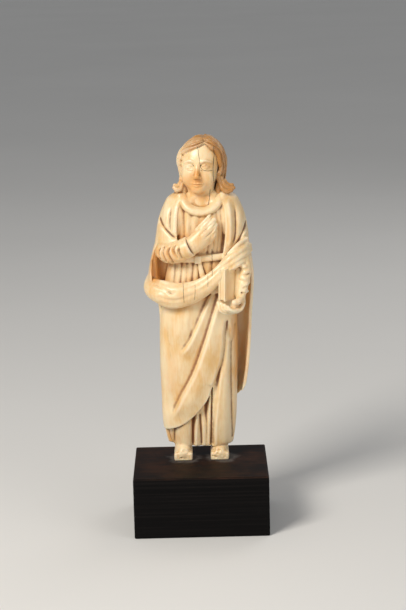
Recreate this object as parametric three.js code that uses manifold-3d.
// A standing robed saint carved from one piece of ivory, on a black wooden plinth.
// Millimetres, +Z up, the front faces -Y. The origin is under the middle of the plinth.
import * as THREE from 'three';
import { mergeVertices } from 'three/addons/utils/BufferGeometryUtils.js';
import Module from 'manifold-3d';

// Driving sizes
const PLINTH_WIDTH = 61.6;
const PLINTH_DEPTH = 52;
const PLINTH_HEIGHT = 28;
const PLINTH_EDGE = 0.6;
const FOOT_GAP = 0.3;
const FIGURE_AXIS_Y = 9;
const FIGURE_LEAN = 0.0265;
const ROBE_HEM = 5.9;
const COLLAR_TOP = 127;
const MANTLE_STEP = 1.8;
const CLOAK_WALL = 1.5;
const CLOAK_GAP_BACK = 7;
const BOOK = { width: 8.8, height: 15.6, pages: 2.3, cover: 0.72, turn: 52 };
const FINGER_RADIUS = 1.3;
const COLLAR_ROLL = 1.75;

// Reach of the body from its axis: height, left, right, front, back
const GOWN = [
  [5.9, 14.4, 13.8, 6.6, 8.0],
  [8, 15.3, 15.4, 7.2, 8.5],
  [18, 17.5, 16.5, 8.8, 10],
  [32, 18.1, 16.9, 10.3, 11],
  [62, 18.9, 16.8, 12.2, 12.5],
  [84, 16.5, 15.5, 11.2, 12],
  [95, 14.5, 14.5, 10.2, 11.5],
  [114, 15, 15, 10, 11],
  [120, 13.5, 13.5, 8.4, 9.5],
  [124, 10, 10, 6, 7],
  [127, 5, 5, 3.5, 4],
];

// Reach of the cloak that hangs over the shoulders
const CLOAK = [
  [12, 16.8, 17.0, 9, 11.2],
  [41, 18.4, 22.0, 9, 13.2],
  [70, 19.2, 23.6, 11, 14],
  [83, 23.6, 24.2, 12, 14.4],
  [90, 23.6, 23.8, 12, 14.4],
  [102, 21.1, 21.8, 12, 14.2],
  [112, 19.6, 20.4, 11.8, 13.6],
  [120.4, 16.5, 17.2, 9.6, 11],
  [123.6, 13.6, 14.4, 7.4, 8.6],
  [127, 6, 6, 3.5, 4.5],
];

// Reach of the hair
const HAIR = [
  [122, 9.2, 10.4, 0.8, 10.8],
  [127, 9.3, 10.8, 2.4, 10.2],
  [131, 9.4, 10.8, 4.4, 9.8],
  [135, 10.2, 11.3, 6.0, 10.2],
  [138.5, 11.0, 11.6, 7.6, 10.6],
  [141.7, 10.6, 10.6, 8.6, 10.4],
  [144.4, 8.9, 9.4, 8.6, 9.6],
  [147.6, 5.6, 7.2, 6.4, 7.6],
  [149.5, 2.8, 4.8, 3.8, 5.2],
  [150.4, 1.0, 2.4, 1.6, 2.6],
];

const wasm = await Module();
wasm.setup();

function ease(from, to, value) {
  return THREE.MathUtils.smoothstep((value - from) / (to - from), 0, 1);
}

// A closed geometry becomes a solid with its faces pointing out.
function solid(geometry) {
  const bare = geometry.clone();
  bare.deleteAttribute('normal');
  bare.deleteAttribute('uv');
  const merged = mergeVertices(bare, 1e-4);
  const corners = Uint32Array.from(merged.index.array);
  const places = Float32Array.from(merged.attributes.position.array);
  const build = () => new wasm.Manifold(new wasm.Mesh({ numProp: 3, vertProperties: places, triVerts: corners }));
  const made = build();
  if (made.volume() > 0) return made;
  for (let i = 0; i < corners.length; i += 3) {
    [corners[i], corners[i + 1]] = [corners[i + 1], corners[i]];
  }
  return build();
}

function reshape(geometry, move) {
  const place = geometry.attributes.position;
  const point = new THREE.Vector3();
  for (let i = 0; i < place.count; i += 1) {
    point.fromBufferAttribute(place, i);
    const moved = move(point);
    place.setXYZ(i, moved.x, moved.y, moved.z);
  }
  return geometry;
}

function curve3(points) {
  return new THREE.CatmullRomCurve3(points.map((p) => new THREE.Vector3(...p)), false, 'catmullrom', 0.5);
}

// The reach in one column of a table at height z, on a smooth curve through its rows
function reach(rows, z, column) {
  let i = 0;
  while (i < rows.length - 2 && z > rows[i + 1][0]) i += 1;
  const slope = (k) => {
    const a = rows[Math.max(k - 1, 0)];
    const b = rows[Math.min(k + 1, rows.length - 1)];
    return (b[column] - a[column]) / (b[0] - a[0]);
  };
  const [low, high] = [rows[i], rows[i + 1]];
  const span = high[0] - low[0];
  const t = THREE.MathUtils.clamp((z - low[0]) / span, 0, 1);
  const rise = high[column] - low[column];
  const curl = t * t * (3 - 2 * t);
  const bend = t * (1 - t) * ((1 - t) * slope(i) - t * slope(i + 1)) * span;
  return low[column] + rise * curl + bend;
}

// Folds are strokes drawn over the front or the back: x across, z up.
class Folds {
  constructor() {
    this.strokes = [];
  }

  stroke(points, height, profile, ends) {
    const path = new THREE.SplineCurve(points.map((p) => new THREE.Vector2(...p)));
    this.strokes.push({ line: path.getPoints(20), height, profile, ends });
    return this;
  }

  crest(points, width, height, ends = [0.2, 0.2]) {
    return this.stroke(points, height, (d) => Math.exp(-((d / width) ** 2)), ends);
  }

  groove(points, width, depth, ends = [0.15, 0.15]) {
    return this.stroke(points, -depth, (d) => Math.max(1 - Math.abs(d) / width, 0) ** 1.3, ends);
  }

  // A lapping fold stands proud on one side of its line and is dug out on the other.
  lap(points, proud, high, low, dig, ends = [0.15, 0.15], side = 1) {
    const up = (d) => Math.exp(-((Math.abs(d) / high) ** 1.5));
    const down = (d) => (-dig / proud) * Math.max(1 - Math.abs(d) / low, 0) ** 1.2;
    const shape = (d) => {
      const across = d * side;
      const share = ease(-0.5, 0.5, across);
      return share * up(d) + (1 - share) * down(d);
    };
    return this.stroke(points, proud, shape, ends);
  }

  at(x, z) {
    let total = 0;
    for (const { line, height, profile, ends } of this.strokes) {
      let best = Infinity;
      let signed = 0;
      let along = 0;
      for (let i = 0; i < line.length - 1; i += 1) {
        const a = line[i];
        const b = line[i + 1];
        const [ux, uz] = [b.x - a.x, b.y - a.y];
        const length2 = ux * ux + uz * uz + 1e-9;
        const t = THREE.MathUtils.clamp(((x - a.x) * ux + (z - a.y) * uz) / length2, 0, 1);
        const [px, pz] = [x - a.x - t * ux, z - a.y - t * uz];
        const d = Math.hypot(px, pz);
        if (d < best) {
          best = d;
          signed = Math.sign(ux * (z - a.y) - uz * (x - a.x)) * d;
          along = (i + t) / (line.length - 1);
        }
      }
      const start = ends[0] > 0 ? ease(0, ends[0], along) : 1;
      const finish = ends[1] > 0 ? ease(0, ends[1], 1 - along) : 1;
      total += height * profile(signed) * start * finish;
    }
    return total;
  }
}

// A cylinder reshaped into a cloth column. Its columns are closer together at the front.
function column(rows, heights, frontSides, backSides, relief, grow = 0, power = 2.3) {
  const sides = frontSides + backSides;
  const steps = heights.length - 1;
  const form = new THREE.CylinderGeometry(1, 1, 1, sides, steps);
  return reshape(form, (p) => {
    const z = heights[Math.round((p.y + 0.5) * steps)];
    const turn = Math.atan2(p.x, p.z) / (2 * Math.PI);
    const index = Math.round((turn < -1e-6 ? turn + 1 : turn) * sides) % sides;
    const inFront = index <= frontSides;
    const angle = inFront
      ? -Math.PI / 2 + (Math.PI * index) / frontSides
      : Math.PI / 2 + (Math.PI * (index - frontSides)) / backSides;
    const [left, right, front, back] = [1, 2, 3, 4].map((k) => reach(rows, z, k) + grow);
    const middle = (right - left) / 2;
    const across = (right + left) / 2;
    const deep = Math.cos(angle) > 0 ? front : back;
    const [dx, dy] = [Math.sin(angle), -Math.cos(angle)];
    const size = (Math.abs(dx / across) ** power + Math.abs(dy / deep) ** power) ** (-1 / power);
    const spot = new THREE.Vector3(middle + dx * size, dy * size, z);
    if (p.x ** 2 + p.z ** 2 < 0.25) return new THREE.Vector3(middle, (back - front) / 2, z);
    const nx = Math.sign(dx) * (Math.abs(dx * size) / across) ** (power - 1) / across;
    const ny = Math.sign(dy) * (Math.abs(dy * size) / deep) ** (power - 1) / deep;
    const lift = relief ? relief(spot.x, spot.y, z) / Math.hypot(nx, ny) : 0;
    return new THREE.Vector3(spot.x + nx * lift, spot.y + ny * lift, z);
  });
}

// A cylinder laid along a curve, with a radius for each point and rounded ends
function limb(points, radii, sides = 8, steps = 10, flat = 1, blunt = 0.55) {
  const path = curve3(points);
  const form = new THREE.CylinderGeometry(1, 1, 1, sides, steps);
  const radiusAt = (t) => {
    const s = t * (radii.length - 1);
    const i = Math.min(Math.floor(s), radii.length - 2);
    return THREE.MathUtils.lerp(radii[i], radii[i + 1], ease(0, 1, s - i));
  };
  return reshape(form, (p) => {
    const index = Math.round((p.y + 0.5) * steps);
    const stations = (index - 0.6) / (steps - 1.2);
    const t = THREE.MathUtils.clamp(stations, 0, 1);
    const centre = path.getPoint(t);
    const along = path.getTangent(t);
    const side = new THREE.Vector3(0, 1, 0).cross(along);
    if (side.length() < 0.2) side.set(1, 0, 0).cross(along);
    side.normalize();
    const depth = new THREE.Vector3().crossVectors(along, side);
    const end = index === 0 || index === steps;
    const radius = radiusAt(t) * (end ? blunt : 1);
    const ring = Math.hypot(p.x, p.z) > 0.5 ? 1 : 0;
    const angle = Math.atan2(p.z, p.x);
    centre.addScaledVector(side, ring * radius * Math.cos(angle));
    centre.addScaledVector(depth, ring * radius * flat * Math.sin(angle));
    if (end) centre.addScaledVector(along, (index === 0 ? -1 : 1) * radiusAt(t) * 0.45);
    return centre;
  });
}

// An outline in x and z, extruded through the depth from front to back
function slab(points, front, back) {
  const shape = new THREE.Shape(points.map((p) => new THREE.Vector2(...p)));
  const form = new THREE.ExtrudeGeometry(shape, { depth: back - front, bevelEnabled: false });
  form.rotateX(Math.PI / 2);
  form.translate(0, back, 0);
  return form;
}

function edge(points, count) {
  const path = new THREE.SplineCurve(points.map((p) => new THREE.Vector2(...p)));
  return path.getPoints(count).map((p) => [p.x, p.y]);
}

function ball(centre, radii, wide = 12, high = 8) {
  const form = new THREE.SphereGeometry(1, wide, high);
  form.rotateX(Math.PI / 2);
  form.scale(...radii);
  form.translate(...centre);
  return form;
}

function heights(low, high, step) {
  const count = Math.round((high - low) / step);
  return Array.from({ length: count + 1 }, (_, i) => low + ((high - low) * i) / count);
}

// Mantle: two great diagonal folds and the swell of the leg behind them
const HEM = [[-21, 13], [-15.2, 14.2], [-8.7, 16.8], [-2.7, 21.8], [2.8, 28.9], [5.4, 36]];
const HEM_RISE = [[5.4, 36], [8.9, 46], [10.4, 56], [11, 67]];
const FOLD_HIGH = [[6.2, 84], [1.7, 72.4], [-3.7, 59.5], [-9.8, 50.6]];
const FOLD_LONG = [[8.4, 80], [5.1, 68], [1.0, 54.5], [-3.6, 41.5], [-9.1, 30.5], [-13.8, 19.5]];

const front = new Folds();
front.lap(FOLD_HIGH, 1.5, 3.4, 3.8, 2.1, [0.05, 0.25], 1);
front.lap(FOLD_LONG, 1.8, 3.8, 4.8, 2.4, [0.05, 0.12], 1);
front.lap(HEM_RISE, 0.9, 2.4, 2.4, 1.6, [0, 0.2], 1);
front.crest([[-10, 76], [-9.5, 62], [-11.5, 48]], 5, 0.8, [0.3, 0.4]);
front.crest([[8.5, 70], [4, 48], [-2.5, 31], [-9, 21]], 4.4, 0.9, [0.25, 0.25]);
front.groove([[-14.4, 70], [-15.2, 52], [-14.4, 34]], 2.2, 0.7, [0.3, 0.5]);
front.groove([[11.6, 67], [13.9, 56], [14.2, 30], [15, 8]], 1.9, 1.5, [0.1, 0]);
front.groove([[9.2, 45], [8, 30], [6.6, 6]], 1.7, 1.6, [0.25, 0]);
front.crest([[11, 64], [11.4, 40], [10.8, 6]], 2.6, 0.8, [0.2, 0]);

const gownFolds = new Folds();
for (const [x, depth] of [[-11.4, 1.4], [-3.1, 1.8], [0.4, 1.2], [4.8, 2.4]]) {
  gownFolds.groove([[x + 0.4, 40], [x, 5]], 1.9, depth, [0, 0]);
}
gownFolds.crest([[-7, 20], [-7.2, 5]], 3, 1, [0, 0]);

// Bodice: gathered pleats above and below the belt
for (const x of [-8.4, -4.6, 4.4, 8.2]) {
  front.groove([[x, 118], [x * 0.96, 98]], 1.6, 0.9, [0.2, 0]);
}
for (const x of [-11.6, -8.8, -6, -3.2, 1.4]) {
  front.groove([[x, 95], [x, 83]], 1.3, 0.9, [0, 0]);
}

// Cloak: long folds down the back, shorter ones over the shoulders
const back = new Folds();
back.lap([[13, 118], [9, 96], [-7, 46], [-13, 28]], 1, 4, 3, 1.2, [0.15, 0.1], -1);
back.lap([[16, 108], [13, 84], [0, 34], [-3, 22]], 1, 4, 3, 1.2, [0.15, 0.1], -1);
back.lap([[18, 90], [13, 44], [9, 28]], 0.9, 4, 3, 1, [0.15, 0.1], -1);
back.lap([[6, 120], [-5, 84], [-13, 64]], 1, 4, 3, 1.1, [0.15, 0.1], -1);
back.lap([[-8, 120], [-11, 104], [-15, 88]], 0.8, 4, 2.6, 0.9, [0.15, 0.1], -1);
const shoulders = new Folds();
shoulders.crest([[-10.8, 122], [-12.6, 114], [-13, 106]], 1.5, 0.8);
shoulders.lap([[-19.4, 113.5], [-16.2, 109], [-11.2, 104.4]], 0.9, 2.6, 2, 1.1, [0.15, 0.05], -1);
shoulders.crest([[12.1, 123], [13.5, 114], [12.6, 98]], 1.6, 1, [0.2, 0.2]);
shoulders.groove([[15.4, 121], [16, 112], [14, 100]], 1.8, 0.9, [0.2, 0.2]);
shoulders.lap([[20.6, 111.5], [16.8, 103.6], [12.6, 97.2]], 0.9, 2.4, 2, 1.1, [0.1, 0.05], -1);

const inFront = (y) => ease(1.5, -2.5, y);
const behind = (y) => ease(-1, 3, y);

// Robe: the mantle's surface, cut back to the gown below its hem
const robeHeights = [ROBE_HEM, ...heights(8, 96, 5), 101, 108, 115, 120, 124, COLLAR_TOP];
const robeRelief = (x, y, z) => front.at(x, z) * inFront(y) + 0.6 * back.at(x, z) * behind(y);
let robe = solid(column(GOWN, robeHeights, 24, 8, robeRelief));
const gownHeights = [ROBE_HEM - 0.05, 8, 11, 18, 26, 36, 50, 70];
const gownRelief = (x, y, z) => gownFolds.at(x, z) * inFront(y);
const gown = solid(column(GOWN, gownHeights, 24, 8, gownRelief, -MANTLE_STEP));
const belowHem = solid(slab([...edge(HEM, 16), [4.8, 0], [-30, 0], [-30, 13]], -30, 1));
robe = robe.subtract(belowHem.subtract(gown));

// Cloak: a shell open in front, hollow behind the hanging side
const cloakHeights = [...heights(12, 116, 9), 121.4, 124.6, COLLAR_TOP];
const cloakRelief = (x, y, z) => shoulders.at(x, z) * inFront(y) + back.at(x, z) * behind(y);
let cloak = solid(column(CLOAK, cloakHeights, 18, 12, cloakRelief));
const lowerEdge = edge([[-26, 12.6], [-10, 16], [0, 20], [10, 24], [16.6, 27.2], [21.6, 34.8], [26, 42]], 14);
cloak = cloak.subtract(solid(slab([...lowerEdge, [30, 0], [-30, 0]], -30, 30)));
const hollowHeights = [20, 40, 60, 80, 97];
const hollow = solid(column(CLOAK, hollowHeights, 18, 12, null, -CLOAK_WALL));
const hollowReach = solid(slab([[13, 0], [30, 0], [30, 96.5], [13, 96.5]], -30, CLOAK_GAP_BACK));
cloak = cloak.subtract(hollow.intersect(hollowReach));
cloak = cloak.subtract(solid(slab([[-30, 0], [30, 0], [30, 82], [14, 82], [14, 79], [-30, 79]], -30, -1.2)));
cloak = cloak.subtract(solid(slab([[13, 80], [30, 80], [30, 98], [13, 98]], -30, -4)));
const leftEdge = edge([[-8.2, 128], [-10.6, 118], [-11.2, 105.5], [-11.6, 101]], 6);
const rightEdge = edge([[9.4, 96], [11.1, 110.5], [10.2, 117.4], [8, 128]], 6);
cloak = cloak.subtract(solid(slab([...leftEdge, [-12.5, 84], [9, 84], ...rightEdge], -30, -1)));
const pocket = edge([[-12, 100], [-19, 101], [-22, 96.5], [-22.4, 89], [-21.4, 82], [-12, 80]], 12);
cloak = cloak.subtract(solid(slab(pocket, -30, 3)));
const flankHeights = [81, 87, 93, 99, 105];
const flankOuter = solid(column(CLOAK, flankHeights, 12, 8, null, 0, 4));
const flankInner = solid(column(CLOAK, flankHeights, 12, 8, null, -CLOAK_WALL, 4));
const flankReach = solid(slab([[-30, 81.5], [-16, 81.5], [-16, 100], [-18, 104.5], [-30, 104.5]], -9, 2));
const flank = flankOuter.subtract(flankInner).intersect(flankReach);

// Neck and rolled collar
const neck = solid(limb([[0.2, 1, 114], [0.2, 0.2, 122], [0.3, -0.6, 131]], [6.2, 5.5, 5.6], 12, 4));
const hollowNeck = solid(ball([-0.4, -8.6, 121], [5.6, 2.6, 3.2], 10, 6));
const collarForm = new THREE.TorusGeometry(1, COLLAR_ROLL / 8.4, 5, 16);
reshape(collarForm, (p) => {
  const f = -p.y;
  const drop = f > 0 ? 6.9 * f ** 1.5 : -2.5 * Math.abs(f);
  const reachOut = Math.sign(f) * Math.abs(f) ** 0.6;
  return new THREE.Vector3(9.2 * p.x, -1.2 - 8.3 * reachOut, 123.4 - drop + 8.4 * p.z);
});

// Flat belt, its knot and the end that hangs from it
const BELT = [[-11, -9.6, 95.4], [-4, -10.4, 95.4], [4, -10.4, 95.7], [11, -9.5, 96]];
const belt = solid(limb(BELT, [1.5, 1.55, 1.55, 1.5], 6, 5, 0.65));
const beltEnd = limb([[-0.9, -10.9, 94], [-0.2, -11.2, 90.8], [0.6, -11.8, 87.6]], [1, 1.15, 1.3], 5, 2, 0.55);
const knotForm = new THREE.BoxGeometry(3.2, 1.8, 3.4);
knotForm.translate(-1.5, -11.1, 95.1);

// Mantle thrown across the body from the left hip up to the forearm
const BAND = [
  [-22, 0.5, 83], [-21.4, -5, 81.2], [-12.5, -12.6, 79.5], [-0.5, -13.9, 82.3],
  [9, -13.5, 89.5], [17, -10.4, 97], [20.6, -5.5, 98.6],
];
const band = solid(limb(BAND, [3.6, 4.5, 5.2, 4.7, 3.8, 3.7, 2.6], 9, 13, 0.72));
const LIP = [[-20.8, -7.2, 77.4], [-11.5, -13.2, 75.3], [-1.5, -14.3, 78.6], [7.5, -13.6, 86]];
const lip = solid(limb(LIP, [1.3, 1.8, 1.6, 1.1], 5, 9));
const bundle = [
  limb([[9, -14.4, 93], [13, -14.8, 96], [18.5, -11.3, 99.4], [21.8, -5, 100.2]], [0.9, 1.6, 1.8, 1.2], 5, 6),
  limb([[12.6, -15.2, 91], [15.6, -15.2, 93], [19.2, -11.6, 95.6], [22, -5.4, 96.6]], [0.9, 1.6, 1.7, 1.2], 5, 6),
  limb([[13, -14.6, 99.4], [17, -12, 102], [20.4, -7, 103.2]], [0.8, 1.3, 1], 5, 4),
];

// Right arm laid across the body, sleeve creased round it
const ARM = [[-17.2, -6.2, 98.6], [-14.2, -9.6, 98.4], [-10.2, -12.2, 99.2], [-6, -13.3, 101.5]];
const arm = solid(limb(ARM, [4.5, 4.9, 4.6, 4.1], 9, 6));
const creases = [0.2, 0.45, 0.7].map((t) => {
  const centre = curve3(ARM).getPoint(t);
  const ring = [-1.3, -0.6, 0, 0.6, 1.3].map((a) => [
    centre.x + 0.6 - 1.4 * Math.cos(a),
    centre.y - 4.3 * Math.cos(a),
    centre.z + 4.6 * Math.sin(a),
  ]);
  return limb(ring, [0.6, 0.85, 0.9, 0.85, 0.6], 4, 6);
});
const upright = new THREE.Vector3(0, 1, 0);
const alongWrist = new THREE.Vector3(0.86, -0.2, 0.46).normalize();
const cuffForm = new THREE.CylinderGeometry(4.85, 5, 3.9, 12, 1);
cuffForm.applyQuaternion(new THREE.Quaternion().setFromUnitVectors(upright, alongWrist));
cuffForm.translate(-6.4, -13.2, 101.1);

// Right hand flat on the breast
const PALM = [[-5.6, -13.2, 101.6], [-3.2, -13.6, 103.2], [-0.2, -13.3, 105.9], [2, -12.9, 108]];
const palm = limb(PALM, [3.9, 3.9, 3.9, 3.5], 7, 4, 0.62);
const heel = limb([[-1.6, -12.9, 102.6], [1.4, -12.8, 104], [3.8, -12.4, 106]], [1.9, 2.2, 2], 5, 3, 0.75);
const RIGHT_FINGERS = [
  [[-1.4, -13.1, 109], [1.6, -13.5, 112.2], [3.7, -12.6, 114.8]],
  [[0.8, -13.4, 107.6], [3.8, -13.7, 111], [5.7, -12.7, 113.5]],
  [[2.4, -13.3, 106], [4.8, -13.6, 108.9], [6.3, -12.6, 111.2]],
  [[3.2, -12.9, 104.2], [5, -13.2, 106.6], [6.2, -12.4, 108.7]],
];
const fingerRadii = [1.2 * FINGER_RADIUS, 1.15 * FINGER_RADIUS, 1.1];
const rightFingers = RIGHT_FINGERS.map((p) => limb(p, fingerRadii, 5, 3, 0.85));

// Left sleeve, book, and the hand that holds it from below
const FOREARM = [[18.8, -9, 96], [20, -11.4, 90.5], [18.6, -13, 80], [17.6, -13.4, 75.6]];
const sleeve = limb(FOREARM, [2.9, 2.7, 2.4, 2.2], 7, 5);
const sleeveFolds = [[92, 18.8], [88.4, 20], [84.8, 18.6], [81.2, 19.4]].map(([z, x]) =>
  limb([[x - 2.4, -13.2, z + 0.6], [x, -14.6, z], [x + 2, -12.6, z - 1]], [0.8, 1.1, 0.8], 4, 3));
const bookTurn = THREE.MathUtils.degToRad(BOOK.turn);
const bookPart = (width, thick, height, offset) => {
  const form = new THREE.BoxGeometry(width, thick, height);
  form.translate(0, offset, 0);
  form.rotateZ(bookTurn);
  form.translate(12, -13.2, 84.8);
  return form;
};
const book = [
  bookPart(BOOK.width - 0.6, BOOK.pages, BOOK.height - 1, 0),
  bookPart(BOOK.width, BOOK.cover, BOOK.height, -BOOK.pages / 2 - BOOK.cover / 2 + 0.05),
  bookPart(BOOK.width, BOOK.cover, BOOK.height, BOOK.pages / 2 + BOOK.cover / 2 - 0.05),
];
const fist = ball([15.9, -13.6, 73.9], [3.2, 3, 3.3], 8, 6);
const leftFingers = [0, 1, 2, 3].map((k) => limb([
  [13.6 + 1.13 * k, -16, 71.6 + 0.4 * k],
  [11 + 1.37 * k, -17.2 - 0.13 * k, 72 + 0.2 * k],
  [8.6 + 1.5 * k, -17.4 - 0.35 * k, 73.4 - 0.1 * k],
  [7.7 + 1.4 * k, -16.6 - 0.55 * k, 76 - 0.55 * k],
], [0.85 * FINGER_RADIUS, 0.85 * FINGER_RADIUS, 0.8 * FINGER_RADIUS, 0.8], 5, 4));
const thumb = limb([[18.4, -14.2, 77.3], [16.9, -16.8, 76.9], [15, -17.6, 76.5]], [1.3, 1.4, 1.2], 5, 3);

// Feet, their toes broken short
const feet = [[-8, -1], [8.9, 1]].map(([x, side]) => {
  const foot = [limb([[x, 4.5, 4.4], [x, -1.5, 4.2], [x, -5.2, 2.7]], [4, 3.9, 2.6], 8, 4)];
  const sole = new THREE.CylinderGeometry(3.9, 4.2, 2.8, 10, 1);
  sole.rotateX(Math.PI / 2);
  sole.scale(1, 1.4, 1);
  sole.translate(x, -0.6, 1.4);
  foot.push(sole);
  const bigToe = x - 2.6 * side;
  foot.push(limb([[bigToe, -3.2, 2.4], [bigToe, -5.4, 2.1], [bigToe, -6.9, 1.7]], [1.6, 1.5, 1.2], 6, 2));
  const toes = x + 1.3 * side;
  foot.push(limb([[toes, -3, 2.2], [toes, -5, 1.9], [toes, -6.2, 1.5]], [2.7, 2.6, 2.3], 7, 2, 0.5));
  return foot;
});

// Head: skull with its cap of hair, face, and locks that fall to the shoulders
const hairFolds = new Folds();
for (const side of [-1, 1]) {
  for (let lock = 0; lock < 3; lock += 1) {
    const out = 0.8 + 3 * lock;
    const parting = [[out, 150], [out + 5, 144], [out + 6.4 - lock, 134], [out + 4, 126]];
    hairFolds.groove(parting.map(([x, z]) => [side * x, z]), 1.1, 0.9, [0.1, 0.1]);
  }
}
const napeFolds = new Folds();
for (const x of [-7.4, -2.6, 2.6, 7.4]) {
  napeFolds.groove([[x * 0.5, 148], [x, 140], [x * 0.9, 132], [x * 1.1, 121]], 2.4, 1.3, [0.2, 0]);
}
const hairHeights = [122, 126, 130, 134, 138, 141.4, 144.4, 147, 148.8, 150.4];
const hairRelief = (x, y, z) => hairFolds.at(x, z) * inFront(y) + napeFolds.at(x, z) * behind(y);
const hair = solid(column(HAIR, hairHeights, 14, 10, hairRelief, 0, 2.1));
const faceHollow = solid(ball([-0.6, -13, 136], [8.6, 9.4, 11.6], 12, 8));
const face = [
  ball([-0.8, -2.4, 137.1], [8.1, 7.9, 9.7], 12, 8),
  ball([-1, -3.8, 131.4], [6.8, 6.4, 6.9], 12, 8),
  limb([[-1.8, -10.2, 139], [-1.9, -10.9, 135.8], [-2.2, -11.5, 133.3]], [0.7, 0.9, 1.2], 6, 3),
  limb([[-4, -10, 129.4], [-2, -10.8, 129.4], [0.2, -10.4, 129.4]], [0.4, 0.8, 0.4], 5, 4),
  ball([-5.1, -8.4, 136.9], [1.8, 1.3, 1.1], 7, 4),
  ball([1.7, -9.1, 136.9], [1.8, 1.3, 1.1], 7, 4),
];
const LOCKS = [
  [[-0.9, -6, 148.2], [-6, -6.8, 145.2], [-8.8, -4.8, 140.6], [-9.3, -4, 133.6], [-9.2, -4.4, 128.6],
    [-12, -4.8, 127.2]],
  [[-2.4, -2, 149.4], [-8.6, -2.6, 143.6], [-10.2, -1.6, 136.6], [-9.4, -2, 129.6], [-12, -2.6, 126.8]],
  [[1.4, -6, 148.3], [4.6, -7.4, 145.2], [7.6, -5.8, 140], [8.8, -4.8, 134], [9.2, -5, 127.8], [13.6, -5, 125.9]],
  [[3.6, -2, 149.2], [9, -3, 143.4], [10.8, -2, 136.4], [10.4, -3.2, 129.6], [14.2, -4, 126.9]],
];
const locks = LOCKS.map((p) => limb(p, [0.9, 1.7, 1.8, 1.7, 1.5, 1.1].slice(0, p.length), 5, 7));
const head = wasm.Manifold.union([hair.subtract(faceHollow), ...face.map(solid), ...locks.map(solid)]);

const torso = wasm.Manifold.union([robe, cloak]).subtract(hollowNeck);
const details = [
  ...bundle, ...creases, collarForm, knotForm, beltEnd, cuffForm, palm, heel, ...rightFingers, sleeve,
  ...sleeveFolds, ...book, fist, ...leftFingers, thumb, ...feet.flat(),
].map(solid);
let figure = wasm.Manifold.union([torso, flank, neck, belt, band, lip, arm, head, ...details]);
const underfoot = solid(slab([[-40, 0], [40, 0], [40, -12], [-40, -12]], -40, 40));
figure = figure.subtract(underfoot);
figure = figure.decompose().sort((a, b) => b.volume() - a.volume())[0];

function geometryOf(manifold) {
  const mesh = manifold.getMesh();
  const geometry = new THREE.BufferGeometry();
  geometry.setAttribute('position', new THREE.BufferAttribute(mesh.vertProperties, 3));
  geometry.setIndex(new THREE.BufferAttribute(mesh.triVerts, 1));
  geometry.computeVertexNormals();
  return geometry;
}

const figureGeometry = geometryOf(figure);
figureGeometry.applyMatrix4(new THREE.Matrix4().set(1, 0, FIGURE_LEAN, 0, 0, 1, 0, 0, 0, 0, 1, 0, 0, 0, 0, 1));

// Plinth: a plain block with its upright corners and rims lightly worn
const half = [PLINTH_WIDTH / 2 - PLINTH_EDGE, PLINTH_DEPTH / 2 - PLINTH_EDGE];
const plan = new THREE.Shape();
plan.moveTo(-half[0], -half[1]);
plan.lineTo(half[0], -half[1]);
plan.lineTo(half[0], half[1]);
plan.lineTo(-half[0], half[1]);
plan.closePath();
const plinthGeometry = new THREE.ExtrudeGeometry(plan, {
  depth: PLINTH_HEIGHT - 2 * PLINTH_EDGE,
  bevelThickness: PLINTH_EDGE,
  bevelSize: PLINTH_EDGE,
  bevelSegments: 2,
});
plinthGeometry.translate(0, 0, PLINTH_EDGE);

const ivory = new THREE.MeshStandardMaterial({ color: '#e6cf9f', roughness: 0.4, metalness: 0 });
const blackWood = new THREE.MeshStandardMaterial({ color: '#17130f', roughness: 0.5, metalness: 0 });

const figureMesh = new THREE.Mesh(figureGeometry, ivory);
figureMesh.name = 'figure';
figureMesh.position.set(0, FIGURE_AXIS_Y, PLINTH_HEIGHT + FOOT_GAP);
const plinthMesh = new THREE.Mesh(plinthGeometry, blackWood);
plinthMesh.name = 'plinth';

const saint = new THREE.Group();
saint.name = 'saint';
saint.add(figureMesh, plinthMesh);

export default saint;
